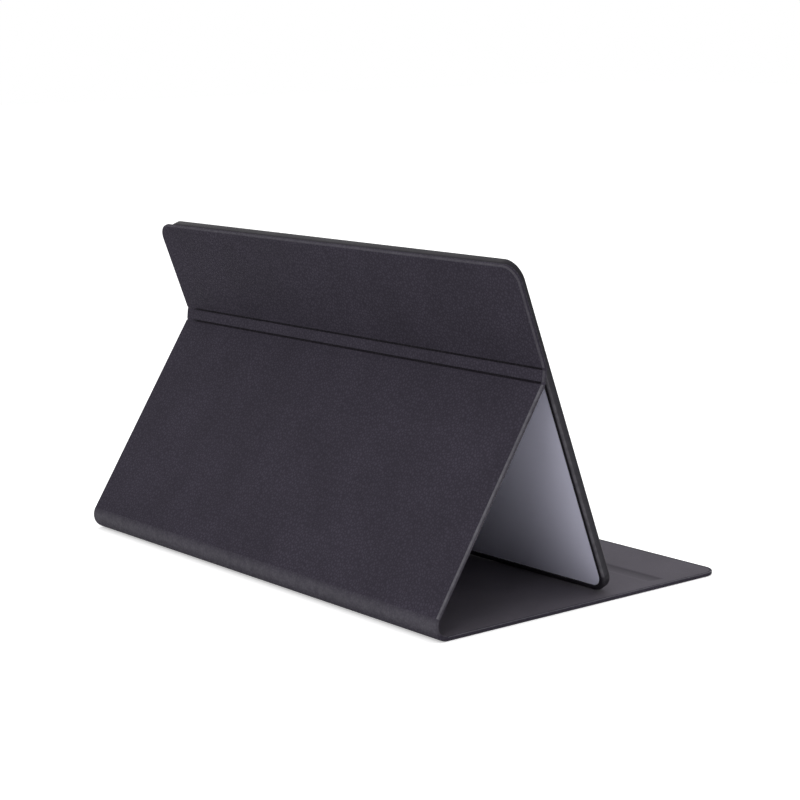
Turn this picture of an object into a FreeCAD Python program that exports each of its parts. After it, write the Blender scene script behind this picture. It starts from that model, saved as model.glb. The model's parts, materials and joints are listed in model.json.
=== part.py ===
import FreeCAD, Part
import math
import os

# A folio cover that folds into an A-shaped stand and carries a dry-wipe board,
# with the marker and the eraser of the set lying on its base. Lengths in millimetres.
# X runs across the board, the writing face looks towards -Y, and Z is up.

# Folio cover
cover_width = 300.0
stand_length = 123.0        # rear bend to lower crease
band_width = 7.0            # lower crease to upper crease
strip_length = 52.0         # upper crease to top edge
skin_thickness = 0.6
stiffener_thickness = 1.2
lining_thickness = 0.4
cover_corner_radius = 9.0
edge_wall = 0.8             # skin turned round the edges of a stiffener
outer_edge_radius = 0.9
inner_edge_radius = 0.4
gutter = 3.5                # crease axis to the end of a stiffener
crease_clearance = 0.3      # hollow panel end to the strip that turns in it
fit_gap = 0.1               # a sheet or plug to the walls round it

# Board
board_side_margin = 4.0     # edge of the cover to edge of the board
board_thickness = 5.0
board_corner_radius = 10.0
rim_wall = 1.6
rim_edge_radius = 1.2
bezel_width = 3.5           # rim over the writing face
bezel_thickness = 0.8
lip_width = 3.0             # rim over the back panel
lip_thickness = 0.6
writing_thickness = 0.6
steel_thickness = 0.4
back_thickness = 0.6
tape_gap = 0.4              # strip to rim, held open by the tape
tape_margin = 6.0
folded_room = 0.2           # between board and base when the folio is shut

# Stand pose
foot_setback = 6.0          # board foot to rear bend when the board lies on the stand
foot_reach = 108.5          # rear crease to the line where the foot stands
foot_gap = 0.3

# Base details
channel_setback = 38.0      # front edge to the middle of the pressed channel
channel_width = 10.5
channel_depth = 0.25
channel_end_margin = 6.0
magnet_count = 4
magnet_length = 20.0
magnet_width = 6.0
magnet_thickness = 1.0
magnet_pitch_share = 0.22   # of the cover width

# Marker
barrel_diameter = 11.2
barrel_length = 65.4
barrel_wall = 0.9
plug_length = 6.9
plug_tip_share = 0.8        # of the plug's own radius
plug_edge_radius = 0.8
spigot_length = 7.0         # plug or collar inside the barrel
collar_length = 16.0
collar_tip_share = 0.72     # of the collar's own radius
collar_cone_share = 0.35    # of the collar length
nib_diameter = 4.4
nib_reach = 8.0             # collar end to nib tip
nib_tip_radius = 1.4
reservoir_gap = 0.4
skirt_length = 18.5         # cap below the sleeve
cap_wall = 0.95
cap_clearance = 0.25        # collar to cap
cap_seat_gap = 0.1          # barrel end to cap rim
cap_top_thickness = 1.5
stem_wall = 0.6             # cap inside the sleeve
sleeve_length = 21.0
sleeve_wall = 1.4
sleeve_edge_radius = 0.7
felt_wall = 1.55            # sleeve round the felt
felt_length = 6.3           # felt that stands out of the sleeve
felt_depth = 4.0            # felt held inside the sleeve
felt_edge_radius = 0.6
marker_front_margin = 17.0  # front edge of the base to the sleeve
marker_tail_x = -32.0
loose_gap = 0.1             # marker or eraser to the lining it lies on

# Eraser
eraser_length = 54.5
eraser_width = 17.8
shell_height = 8.0
shell_edge_radius = 2.2
thumb_length = 19.0
thumb_depth = 0.7
eraser_felt_height = 4.0
eraser_felt_margin = 0.6
eraser_magnet_diameter = 10.0
eraser_magnet_thickness = 2.0
eraser_clearance = 5.5      # board to eraser
eraser_x = -70.0

# Reach of cutting shapes past the face that they cut, and what counts as the same place
overrun = 5.0
closeness = 0.0001

# Sizes that follow from the ones above
half_cover = cover_width / 2
panel_thickness = skin_thickness + stiffener_thickness + lining_thickness
half_panel = panel_thickness / 2
skin_level = skin_thickness - half_panel
lining_level = half_panel - lining_thickness
cover_length = stand_length + band_width + strip_length
half_board = half_cover - board_side_margin
board_back = half_panel + tape_gap
board_front = board_back + board_thickness
board_lower_length = band_width + stand_length - foot_setback
spine_width = panel_thickness + tape_gap + board_thickness + folded_room
barrel_radius = barrel_diameter / 2
bore_radius = barrel_radius - barrel_wall
spigot_radius = bore_radius - fit_gap
cap_bore_radius = barrel_radius - cap_wall
collar_radius = cap_bore_radius - cap_clearance
stem_radius = cap_bore_radius + stem_wall
sleeve_bore_radius = stem_radius + fit_gap
sleeve_radius = sleeve_bore_radius + sleeve_wall
felt_radius = sleeve_radius - felt_wall - fit_gap


def vector(x, y, z):
    return FreeCAD.Vector(x, y, z)


def direction(degrees):
    """Unit step in the YZ plane, counted from +Y towards +Z."""
    turn = math.radians(degrees)
    return (math.cos(turn), math.sin(turn))


def step(point, degrees, length):
    """Point reached from another by a straight step in the YZ plane."""
    along = direction(degrees)
    return (point[0] + along[0] * length, point[1] + along[1] * length)


def fold_axes(stand_turn, board_turn):
    """The four crease axes, with the rear crease of the base at y = 0."""
    rear = (0, half_panel)
    spine_top = step(rear, stand_turn / 2, spine_width)
    lower = step(spine_top, stand_turn, stand_length)
    upper = step(lower, (stand_turn + board_turn) / 2, band_width)
    return rear, spine_top, lower, upper


def foot_error(stand_turn, board_turn):
    """How far the rounded back edge of the foot is from its place on the base."""
    upper = fold_axes(stand_turn, board_turn)[3]
    foot = step(upper, board_turn, rim_edge_radius - board_lower_length)
    foot = step(foot, board_turn + 90, board_back + rim_edge_radius)
    return foot[0] + foot_reach, foot[1] - rim_edge_radius - panel_thickness - foot_gap


def solve_fold():
    """Turns of stand and board, in degrees from flat, that stand the foot on its line."""
    opening = (stand_length**2 + foot_reach**2 - board_lower_length**2) / (2 * stand_length * foot_reach)
    stand_turn = 180 - math.degrees(math.acos(opening))
    board_turn = 180 - stand_turn
    nudge = 0.001
    for _ in range(40):
        y_error, z_error = foot_error(stand_turn, board_turn)
        y_stand, z_stand = foot_error(stand_turn + nudge, board_turn)
        y_board, z_board = foot_error(stand_turn, board_turn + nudge)
        a, b = (y_stand - y_error) / nudge, (y_board - y_error) / nudge
        c, d = (z_stand - z_error) / nudge, (z_board - z_error) / nudge
        spread = a * d - b * c
        stand_turn -= (d * y_error - b * z_error) / spread
        board_turn -= (a * z_error - c * y_error) / spread
    return stand_turn, board_turn


def rounded_face(half_width, low, high, level, low_radius, high_radius):
    """Flat face in the plane of a panel, with its corners rounded at either end."""
    corners = [
        (-half_width, low, 0, 1, 1, 0, low_radius),
        (half_width, low, -1, 0, 0, 1, low_radius),
        (half_width, high, 0, -1, -1, 0, high_radius),
        (-half_width, high, 1, 0, 0, -1, high_radius),
    ]
    edges = []
    ends = []
    for x, y, back_x, back_y, on_x, on_y, radius in corners:
        inset = radius * (1 - math.sqrt(0.5))
        start = vector(x + back_x * radius, y + back_y * radius, level)
        middle = vector(x + (back_x + on_x) * inset, y + (back_y + on_y) * inset, level)
        end = vector(x + on_x * radius, y + on_y * radius, level)
        if radius > 0:
            edges.append(Part.Arc(start, middle, end).toShape())
        ends.append((start, end))
    for index, (start, end) in enumerate(ends):
        edges.append(Part.makeLine(end, ends[(index + 1) % len(ends)][0]))
    return Part.Face(Part.Wire(Part.__sortEdges__(edges)))


def plate(half_width, low, high, bottom, top, low_radius=0, high_radius=0):
    face = rounded_face(half_width, low, high, bottom, low_radius, high_radius)
    return face.extrude(vector(0, 0, top - bottom))


def pill(length, width, bottom, top):
    """Upright solid with half-round ends, lying along X."""
    half_straight = (length - width) / 2
    middle = plate(half_straight, -width / 2, width / 2, bottom, top)
    ends = [
        Part.makeCylinder(width / 2, top - bottom, vector(side * half_straight, 0, bottom))
        for side in (-1, 1)
    ]
    return middle.fuse(ends).removeSplitter()


def edges_at(shape, level):
    """Edges that lie wholly at one height."""
    return [
        edge for edge in shape.Edges
        if abs(edge.BoundBox.ZMin - level) < closeness and abs(edge.BoundBox.ZMax - level) < closeness
    ]


def across(radius, y):
    """Cylinder along a crease, right across the cover."""
    reach = half_cover + overrun
    return Part.makeCylinder(radius, 2 * reach, vector(-reach, y, 0), vector(1, 0, 0))


def crease_cut(y, side):
    """What is taken off a panel end so that the next strip can turn in it."""
    hollow = across(half_panel + crease_clearance, y)
    ends = sorted((y, y + side * (gutter + overrun)))
    return hollow.fuse(plate(half_cover + overrun, ends[0], ends[1], -overrun, overrun))


def panel_ends(low, high, free_low, free_high):
    """Pocket of a panel along its length, and the radii of its corners."""
    pocket_low = low + (edge_wall if free_low else gutter)
    pocket_high = high - (edge_wall if free_high else gutter)
    low_radius = cover_corner_radius if free_low else 0
    high_radius = cover_corner_radius if free_high else 0
    return pocket_low, pocket_high, low_radius, high_radius


def panel_skin(low, high, free_low=False, free_high=False):
    """Skin of a panel, a tray whose rim is turned round the stiffener."""
    pocket_low, pocket_high, low_radius, high_radius = panel_ends(low, high, free_low, free_high)
    outer_low = low if free_low else low - gutter
    outer_high = high if free_high else high + gutter
    tray = plate(half_cover, outer_low, outer_high, -half_panel, half_panel, low_radius, high_radius)
    tray = tray.makeFillet(outer_edge_radius, edges_at(tray, -half_panel))
    tray = tray.makeFillet(inner_edge_radius, edges_at(tray, half_panel))
    tray = tray.cut(plate(
        half_cover - edge_wall, pocket_low, pocket_high, skin_level, half_panel + overrun,
        max(low_radius - edge_wall, 0), max(high_radius - edge_wall, 0),
    ))
    if not free_low:
        tray = tray.cut(crease_cut(low, -1))
    if not free_high:
        tray = tray.cut(crease_cut(high, 1))
    return tray


def panel_sheet(low, high, bottom, top, free_low=False, free_high=False):
    """Stiffener or lining that lies in the tray of a panel."""
    pocket_low, pocket_high, low_radius, high_radius = panel_ends(low, high, free_low, free_high)
    inset = edge_wall + fit_gap
    return plate(
        half_cover - inset, pocket_low + fit_gap, pocket_high - fit_gap, bottom, top,
        max(low_radius - inset, 0), max(high_radius - inset, 0),
    )


def fold_strip(length):
    """Round-edged strip between two creases, as its outer and inner layer."""
    flat = plate(half_cover, 0, length, -half_panel, half_panel)
    rounds = [
        Part.makeCylinder(half_panel, cover_width, vector(-half_cover, y, 0), vector(1, 0, 0))
        for y in (0, length)
    ]
    strip = flat.fuse(rounds).removeSplitter()
    wide, low, high = half_cover + overrun, -overrun, length + overrun
    outer = strip.common(plate(wide, low, high, -overrun, 0))
    inner = strip.common(plate(wide, low, high, 0, overrun))
    return outer, inner


def base_pieces():
    """Base panel, which runs from its front edge to the rear crease at y = 0."""
    front = -cover_length
    skin = panel_skin(front, 0, free_low=True)
    stiffener = panel_sheet(front, 0, skin_level, lining_level, free_low=True)
    lining = panel_sheet(front, 0, lining_level, half_panel, free_low=True)
    channel = pill(cover_width - 2 * channel_end_margin, channel_width, half_panel - channel_depth,
                   half_panel + overrun)
    channel.translate(vector(0, front + channel_setback, 0))
    magnets = []
    for index in range(magnet_count):
        x = (index - (magnet_count - 1) / 2) * magnet_pitch_share * cover_width
        corner = vector(x - magnet_length / 2, -foot_reach - magnet_width / 2, lining_level - magnet_thickness)
        bar = Part.makeBox(magnet_length, magnet_width, magnet_thickness, corner)
        slot = Part.makeBox(magnet_length + 2 * fit_gap, magnet_width + 2 * fit_gap,
                            magnet_thickness + overrun, corner - vector(fit_gap, fit_gap, 0))
        stiffener = stiffener.cut(slot)
        magnets.append(bar)
    return {
        "base_outer_skin": skin,
        "base_stiffener": stiffener,
        "base_lining": lining.cut(channel),
        "base_foot_magnets": Part.makeCompound(magnets),
    }


def spine_pieces():
    skin, lining = fold_strip(spine_width)
    return {"spine_skin": skin, "spine_lining": lining}


def stand_pieces():
    return {
        "stand_outer_skin": panel_skin(0, stand_length),
        "stand_stiffener": panel_sheet(0, stand_length, skin_level, lining_level),
        "stand_lining": panel_sheet(0, stand_length, lining_level, half_panel),
    }


def band_pieces():
    skin, lining = fold_strip(band_width)
    return {"crease_band_skin": skin, "crease_band_lining": lining}


def board_plate(inset, bottom, top):
    """Plate with the board's outline, drawn in all round."""
    radius = max(board_corner_radius - inset, 0)
    return plate(half_board - inset, inset - board_lower_length, strip_length - inset, bottom, top,
                 radius, radius)


def board_pieces():
    """Upper strip of the cover and the board that is taped to it."""
    rim = board_plate(0, board_back, board_front)
    rim = rim.makeFillet(rim_edge_radius, edges_at(rim, board_back) + edges_at(rim, board_front))
    inner_back = board_back + lip_thickness
    inner_front = board_front - bezel_thickness
    rim = rim.cut(board_plate(rim_wall, inner_back, inner_front))
    rim = rim.cut(board_plate(lip_width, board_back - overrun, inner_back))
    rim = rim.cut(board_plate(bezel_width, inner_front, board_front + overrun))
    sheet_inset = rim_wall + fit_gap
    core_back = inner_back + back_thickness
    steel_back = inner_front - writing_thickness - steel_thickness
    writing_back = inner_front - writing_thickness
    tape = plate(half_board - lip_width - tape_margin, tape_margin, strip_length - lip_width - tape_margin,
                 half_panel, inner_back)
    return {
        "strip_outer_skin": panel_skin(0, strip_length, free_high=True),
        "strip_stiffener": panel_sheet(0, strip_length, skin_level, lining_level, free_high=True),
        "strip_lining": panel_sheet(0, strip_length, lining_level, half_panel, free_high=True),
        "strip_tape": tape,
        "board_rim": rim,
        "board_back_sheet": board_plate(sheet_inset, inner_back, core_back),
        "board_core": board_plate(sheet_inset, core_back, steel_back),
        "steel_sheet": board_plate(sheet_inset, steel_back, writing_back),
        "writing_sheet": board_plate(sheet_inset, writing_back, inner_front),
    }


def turned(profile):
    """Solid of revolution about X from (place, radius) corners, closed along the axis."""
    corners = [vector(x, 0, radius) for x, radius in profile]
    first, last = profile[0], profile[-1]
    if last[1] > 0:
        corners.append(vector(last[0], 0, 0))
    if first[1] > 0:
        corners.append(vector(first[0], 0, 0))
    face = Part.Face(Part.makePolygon(corners + corners[:1]))
    return face.revolve(vector(0, 0, 0), vector(1, 0, 0), 360)


def rod(start, end, radius):
    return turned([(start, radius), (end, radius)])


def rounded_end(solid, place, radius):
    """Round the circular edges of a turned piece at one place along its axis."""
    ring = [
        edge for edge in solid.Edges
        if abs(edge.BoundBox.XMin - place) < closeness and abs(edge.BoundBox.XMax - place) < closeness
    ]
    return solid.makeFillet(radius, ring)


# Places along the marker, counted from the tip of its tail
barrel_start = plug_length
barrel_end = barrel_start + barrel_length
collar_end = barrel_end + collar_length
nib_end = collar_end + nib_reach
cap_start = barrel_end + cap_seat_gap
sleeve_start = cap_start + skirt_length
sleeve_end = sleeve_start + sleeve_length
felt_start = sleeve_end - felt_depth
felt_end = sleeve_end + felt_length
cap_inner_end = felt_start - cap_top_thickness


def marker_pieces():
    """Marker along X, with its tail at x = 0."""
    plug_end = barrel_start + spigot_length
    plug = turned([(0, spigot_radius * plug_tip_share), (barrel_start, spigot_radius), (plug_end, spigot_radius)])
    plug = rounded_end(plug, 0, plug_edge_radius)
    barrel = rod(barrel_start, barrel_end, barrel_radius)
    barrel = barrel.cut(rod(barrel_start - overrun, barrel_end + overrun, bore_radius))
    nib_radius = nib_diameter / 2
    nib_start = barrel_end - spigot_length
    nib_hole = rod(nib_start - overrun, nib_end + overrun, nib_radius + fit_gap)
    collar = turned([
        (nib_start, spigot_radius),
        (barrel_end, spigot_radius),
        (barrel_end, collar_radius),
        (collar_end - collar_length * collar_cone_share, collar_radius),
        (collar_end, collar_radius * collar_tip_share),
    ]).cut(nib_hole)
    nib = rounded_end(rod(nib_start, nib_end, nib_radius), nib_end, nib_tip_radius)
    reservoir = rod(plug_end + reservoir_gap, nib_start - reservoir_gap, bore_radius - reservoir_gap)
    return {
        "marker_end_plug": plug,
        "marker_barrel": barrel,
        "marker_collar": collar,
        "marker_nib": nib,
        "marker_ink_reservoir": reservoir,
    }


def cap_pieces():
    cap = turned([
        (cap_start, barrel_radius),
        (sleeve_start, barrel_radius),
        (sleeve_start, stem_radius),
        (felt_start, stem_radius),
    ])
    cap = cap.cut(rod(cap_start - overrun, cap_inner_end, cap_bore_radius))
    sleeve = rod(sleeve_start, sleeve_end, sleeve_radius)
    sleeve = rounded_end(sleeve, sleeve_start, sleeve_edge_radius)
    sleeve = rounded_end(sleeve, sleeve_end, sleeve_edge_radius)
    sleeve = sleeve.cut(rod(sleeve_start - overrun, felt_start, sleeve_bore_radius))
    sleeve = sleeve.cut(rod(felt_start, sleeve_end + overrun, felt_radius + fit_gap))
    felt = rounded_end(rod(felt_start, felt_end, felt_radius), felt_end, felt_edge_radius)
    return {"marker_cap": cap, "cap_sleeve": sleeve, "cap_felt": felt}


def eraser_pieces():
    """Eraser with its felt on z = 0."""
    shell_top = eraser_felt_height + shell_height
    shell = pill(eraser_length, eraser_width, eraser_felt_height, shell_top)
    shell = shell.makeFillet(shell_edge_radius, edges_at(shell, shell_top))
    thumb = plate(thumb_length / 2, -eraser_width, eraser_width, shell_top - thumb_depth, shell_top + overrun)
    magnet_top = eraser_felt_height + eraser_magnet_thickness
    magnet = Part.makeCylinder(eraser_magnet_diameter / 2, eraser_magnet_thickness,
                               vector(0, 0, eraser_felt_height))
    pocket = Part.makeCylinder(eraser_magnet_diameter / 2 + fit_gap, magnet_top,
                               vector(0, 0, 0))
    felt = pill(eraser_length - 2 * eraser_felt_margin, eraser_width - 2 * eraser_felt_margin,
                0, eraser_felt_height)
    return {"eraser_shell": shell.cut(thumb).cut(pocket), "eraser_felt": felt, "eraser_magnet": magnet}


def place(pieces, axis, degrees, point):
    """Turn pieces about a row axis and carry their own origin to a point."""
    spot = FreeCAD.Placement(point, FreeCAD.Rotation(axis, degrees))
    for shape in pieces.values():
        shape.Placement = spot.multiply(shape.Placement)
    return pieces


def main():
    os.makedirs("parts", exist_ok=True)
    stand_turn, board_turn = solve_fold()
    rear, spine_top, lower, upper = fold_axes(stand_turn, board_turn)
    middle = (spine_top[0] + half_panel - cover_length) / 2
    fold_x = vector(1, 0, 0)
    band_turn = (stand_turn + board_turn) / 2
    chain = [
        ("rear crease", base_pieces(), 0, rear),
        ("rear crease", spine_pieces(), stand_turn / 2, rear),
        ("spine top crease", stand_pieces(), stand_turn, spine_top),
        ("lower crease", band_pieces(), band_turn, lower),
        ("upper crease", board_pieces(), board_turn, upper),
    ]
    pieces = {}
    for name, group, turn, axis in chain:
        print(f"{name}: y {axis[0] - middle:.4f} z {axis[1]:.4f}, panel at {turn:.4f} degrees")
        pieces.update(place(group, fold_x, turn, vector(0, axis[0] - middle, axis[1])))

    front = -cover_length - middle
    top = panel_thickness
    span = sleeve_start - barrel_start
    tilt = math.degrees(math.atan((sleeve_radius - barrel_radius) / span))
    lift = barrel_radius / math.cos(math.radians(tilt)) - barrel_start * math.sin(math.radians(tilt))
    tail = vector(marker_tail_x, front + marker_front_margin + sleeve_radius, top + loose_gap + lift)
    print(f"marker: tail {tail.x:.4f} {tail.y:.4f} {tail.z:.4f}, tilt {tilt:.4f} degrees")
    pieces.update(place({**marker_pieces(), **cap_pieces()}, vector(0, -1, 0), tilt, tail))
    eraser_y = rear[0] - foot_reach - board_thickness - eraser_clearance - eraser_width / 2
    rest = vector(eraser_x, eraser_y - middle, top + loose_gap)
    pieces.update(place(eraser_pieces(), fold_x, 0, rest))

    for name, shape in pieces.items():
        print(f"{name}: {len(shape.Solids)} solid, valid {shape.isValid()}, {shape.Volume / 1000:.3f} cm3")
        shape.exportStep(f"parts/{name}.step")


main()
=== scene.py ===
import json
import math
from collections import Counter, namedtuple
from functools import partial

import bmesh
import bpy
from bpy.props import (
    FloatProperty,
    FloatVectorProperty,
    IntProperty,
    PointerProperty,
)
from mathutils import Matrix, Vector


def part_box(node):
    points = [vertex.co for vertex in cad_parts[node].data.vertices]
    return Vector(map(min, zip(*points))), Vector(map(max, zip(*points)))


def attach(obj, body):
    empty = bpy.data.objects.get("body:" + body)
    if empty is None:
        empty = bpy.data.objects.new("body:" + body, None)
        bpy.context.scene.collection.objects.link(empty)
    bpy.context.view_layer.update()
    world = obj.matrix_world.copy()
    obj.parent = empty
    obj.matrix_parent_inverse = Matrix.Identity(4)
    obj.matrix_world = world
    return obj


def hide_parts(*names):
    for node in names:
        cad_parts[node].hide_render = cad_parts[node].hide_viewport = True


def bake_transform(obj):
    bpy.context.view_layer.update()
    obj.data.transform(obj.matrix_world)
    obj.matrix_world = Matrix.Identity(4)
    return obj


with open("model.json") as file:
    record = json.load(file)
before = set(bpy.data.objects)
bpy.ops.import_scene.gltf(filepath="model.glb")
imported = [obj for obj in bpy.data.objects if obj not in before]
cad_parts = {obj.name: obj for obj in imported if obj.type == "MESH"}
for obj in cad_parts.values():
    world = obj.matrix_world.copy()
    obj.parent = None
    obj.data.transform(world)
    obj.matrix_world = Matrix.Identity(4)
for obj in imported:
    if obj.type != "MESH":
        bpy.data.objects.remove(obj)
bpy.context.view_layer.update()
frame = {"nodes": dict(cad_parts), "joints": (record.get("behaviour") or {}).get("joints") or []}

bl_info = {
    "name": "Folding whiteboard",
    "version": (1, 0, 0),
    "blender": (4, 5, 0),
    "location": "3D View > Sidebar > Whiteboard",
    "description": "Dresses the packed folding whiteboard in leather, plastic, felt and light",
    "category": "Object",
}

CLOSE = 1e-6                # what counts as the same place, in metres
SKIM = 2e-5                 # how far a corner may lie off a round wall and still be on it, in metres
STRAIGHT = 0.99             # cosine above which a face looks straight along a direction
ROUGHLY = 0.9               # the same for the faces of a bend
SENSOR_WIDTH = 36.0         # of the camera, in millimetres
CLIP_RANGE = (0.05, 50.0)   # nearest and farthest that the camera sees, in metres

# Rows of faces round each kind of rounding
CORNER_ROWS = 12
RIM_CORNER_ROWS = 14
PILL_ROWS = 16
ROLL_ROWS = 16
TOP_ROWS = 6
OUTER_ROWS = 5
INNER_ROWS = 3
FINE_ROWS = 2


# Places that the packed model gives

JOINTS = {joint["name"]: joint for joint in frame["joints"]}


def crease(joint):
    """Middle of a crease axis."""
    return Vector(JOINTS[joint]["pos_m"])


def turn_of(step):
    """Turn of a panel about X, counted from flat."""
    return math.atan2(step.z, step.y)


def spread(node, origin, axis, turn):
    """Lowest and highest corner of a CAD node in a frame of its own."""
    back = Matrix.Rotation(-turn, 3, axis)
    places = [back @ (vertex.co - origin) for vertex in frame["nodes"][node].data.vertices]
    return tuple(Vector([pick_end(place[i] for place in places) for i in range(3)])
                 for pick_end in (min, max))


REAR = crease("rear_fold")
SPINE_TOP = crease("stand_fold")
LOWER = crease("lower_crease")
UPPER = crease("upper_crease")
SPINE_TURN = turn_of(SPINE_TOP - REAR)
STAND_TURN = turn_of(LOWER - SPINE_TOP)
BAND_TURN = turn_of(UPPER - LOWER)
BOARD_TURN = 2 * BAND_TURN - STAND_TURN
STAND_LENGTH = (LOWER - SPINE_TOP).length
BAND_WIDTH = (UPPER - LOWER).length

BASE_LOW, BASE_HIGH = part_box("base_outer_skin")
HALF_COVER = BASE_HIGH.x
HALF_PANEL = REAR.z
BASE_FRONT = BASE_LOW.y - REAR.y
STRIP_LENGTH = spread("strip_outer_skin", UPPER, "X", BOARD_TURN)[1].y
RIM_LOW, RIM_HIGH = spread("board_rim", UPPER, "X", BOARD_TURN)

# The rear roll is one arc that touches base, spine and stand
ROLL_TANGENT = (SPINE_TOP - REAR).length / 2
ROLL_RADIUS = ROLL_TANGENT / math.tan(SPINE_TURN / 2)
ROLL_START = REAR - Vector((0, ROLL_TANGENT, 0))
ROLL_CENTRE = ROLL_START + Vector((0, 0, ROLL_RADIUS))

PULL = Vector(JOINTS["cap_pull"]["axis"])
MARKER_TURN = -math.atan2(PULL.z, PULL.x)
BARREL_LOW, BARREL_HIGH = spread("marker_barrel", Vector(), "Y", MARKER_TURN)
TAIL_LOW = spread("marker_end_plug", Vector(), "Y", MARKER_TURN)[0]
MARKER_TAIL = Matrix.Rotation(MARKER_TURN, 3, "Y") @ Vector((
    TAIL_LOW.x, (BARREL_LOW.y + BARREL_HIGH.y) / 2, (BARREL_LOW.z + BARREL_HIGH.z) / 2))


# Kinds of settings, and the settings


def setting(kind, name, description, default, **details):
    return kind(name=name, description=description, default=default, **details)


length = partial(setting, FloatProperty, min=0, precision=5, subtype="DISTANCE", unit="LENGTH")
offset = partial(setting, FloatProperty, precision=5, subtype="DISTANCE", unit="LENGTH")
position = partial(setting, FloatVectorProperty, size=3, subtype="TRANSLATION", unit="LENGTH")
colour = partial(setting, FloatVectorProperty, size=3, min=0, max=1, subtype="COLOR")
share = partial(setting, FloatProperty, min=0, max=1, subtype="FACTOR")
strength = partial(setting, FloatProperty, min=0)
power = partial(setting, FloatProperty, min=0, subtype="POWER", unit="POWER")
focal_length = partial(setting, FloatProperty, min=1, subtype="DISTANCE_CAMERA", unit="CAMERA")
count = partial(setting, IntProperty)


def degrees(name, description, default):
    return setting(FloatProperty, name, description, math.radians(default),
                   subtype="ANGLE", unit="ROTATION")


# Setting for an edge mark: a lighter, worn look with a painted highlight on outer rounding, side and inner
# rounding.
def rub(name, default):
    return setting(FloatVectorProperty, name, "Rub on outer rounding, side and inner rounding", default,
                   size=3, min=0, max=1)


class CoverSettings(bpy.types.PropertyGroup):
    """Sizes and colours of the folio cover"""
    corner_radius: length("Corner radius", "Rounding of the cover's free corners", 0.009)
    outer_edge: length("Outer edge", "Rounding of the leather on its outer side", 0.0009)
    inner_edge: length("Inner edge", "Rounding of the leather on its inner side", 0.0004)
    hem: length("Hem", "Leather that shows round the lining", 0.0011)
    lining_sink: length("Lining sink", "Lining below the turned leather edge", 0.00006)
    lining_thickness: length("Lining thickness", "Thickness of the lining", 0.0004)
    lining_gap: length("Lining gap", "Room round the lining in its tray", 0.00008)
    lining_edge: length("Lining edge", "Rounding of the lining's edge", 0.00012)
    face_hold: length("Face hold", "Strip beside a rounding that keeps the leather's face flat", 0.0004)
    lining_hold: length("Lining hold", "Strip beside a rounding that keeps the lining's face flat", 0.0005)
    crease_half: length("Crease half width", "Crease axis to the end of a panel", 0.00075)
    crease_edge: length("Crease edge", "Rounding of a panel along a crease", 0.0003)
    crease_depth: length("Crease depth", "Outer face to the floor of a crease", 0.0006)
    crease_near: length("Crease near end", "Stretch over which a crease fades out at the side of -X", 0.002)
    crease_far: length("Crease far end", "Stretch over which a crease fades out at the side of +X", 0.010)
    crease_reach: length("Crease reach", "How far the soft leather goes into the panels", 0.0022)
    crease_shy: length("Crease shyness", "How far it stays inside their faces", 0.0001)
    crease_steps: count("Crease steps", "Rows of faces round a crease", 6, min=2)
    channel_setback: length("Channel setback", "Front edge to the middle of the pressed channel", 0.038)
    channel_width: length("Channel width", "Width of the pressed channel", 0.0105)
    channel_depth: length("Channel depth", "Depth of the pressed channel", 0.00030)
    channel_slope: length("Channel slope", "Width of the channel's soft walls", 0.0013)
    channel_hold: length("Channel hold", "Strip beside the walls that keeps the lining flat", 0.0007)
    channel_end: length("Channel end", "Side of the cover to the end of the channel", 0.006)
    # Painted highlight, with some worn look, along the edges of each panel.
    base_rub_and_highlight: rub("Base rub", (0.0, 0.0, 0.6))
    stand_rub_and_highlight: rub("Stand rub", (0.62, 0.24, 0.0))
    band_rub_and_highlight: rub("Band rub", (0.25, 0.08, 0.0))
    strip_rub_and_highlight: rub("Strip rub", (0.27, 0.0, 0.0))
    # Painted highlight band along the rear roll, in the colour of worn edges.
    roll_highlight: share("Roll rub", "How rubbed the leather is along the rear roll", 0.30)
    roll_highlight_place: degrees("Roll rub place", "Where round the roll it is rubbed most", 88)
    roll_highlight_reach: degrees("Roll rub reach", "How far round the roll that fades out", 50)
    pebble: length("Pebble", "Size of one pebble of the leather grain", 0.0017)
    leather: colour("Leather", "Colour of the leather", (0.0478, 0.0422, 0.0577))
    # Crease floor colour: pressed leather, darker also by painted shade in the groove.
    leather_pressed: colour("Pressed leather", "Colour at the bottom of a crease",
                            (0.0109, 0.0085, 0.0134))
    # Colour of worn edges, used as a painted highlight along the edges and on the rear roll.
    leather_rubbed: colour("Rubbed leather", "Colour of the leather along its edges",
                           (0.192, 0.187, 0.205))
    lining: colour("Lining", "Colour of the lining", (0.090, 0.0828, 0.0982))
    # Channel floor colour: painted shade in the pressed channel, deepest along its front wall.
    lining_pressed: colour("Pressed lining", "Colour at the bottom of the channel",
                           (0.058, 0.0535, 0.0635))


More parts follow.
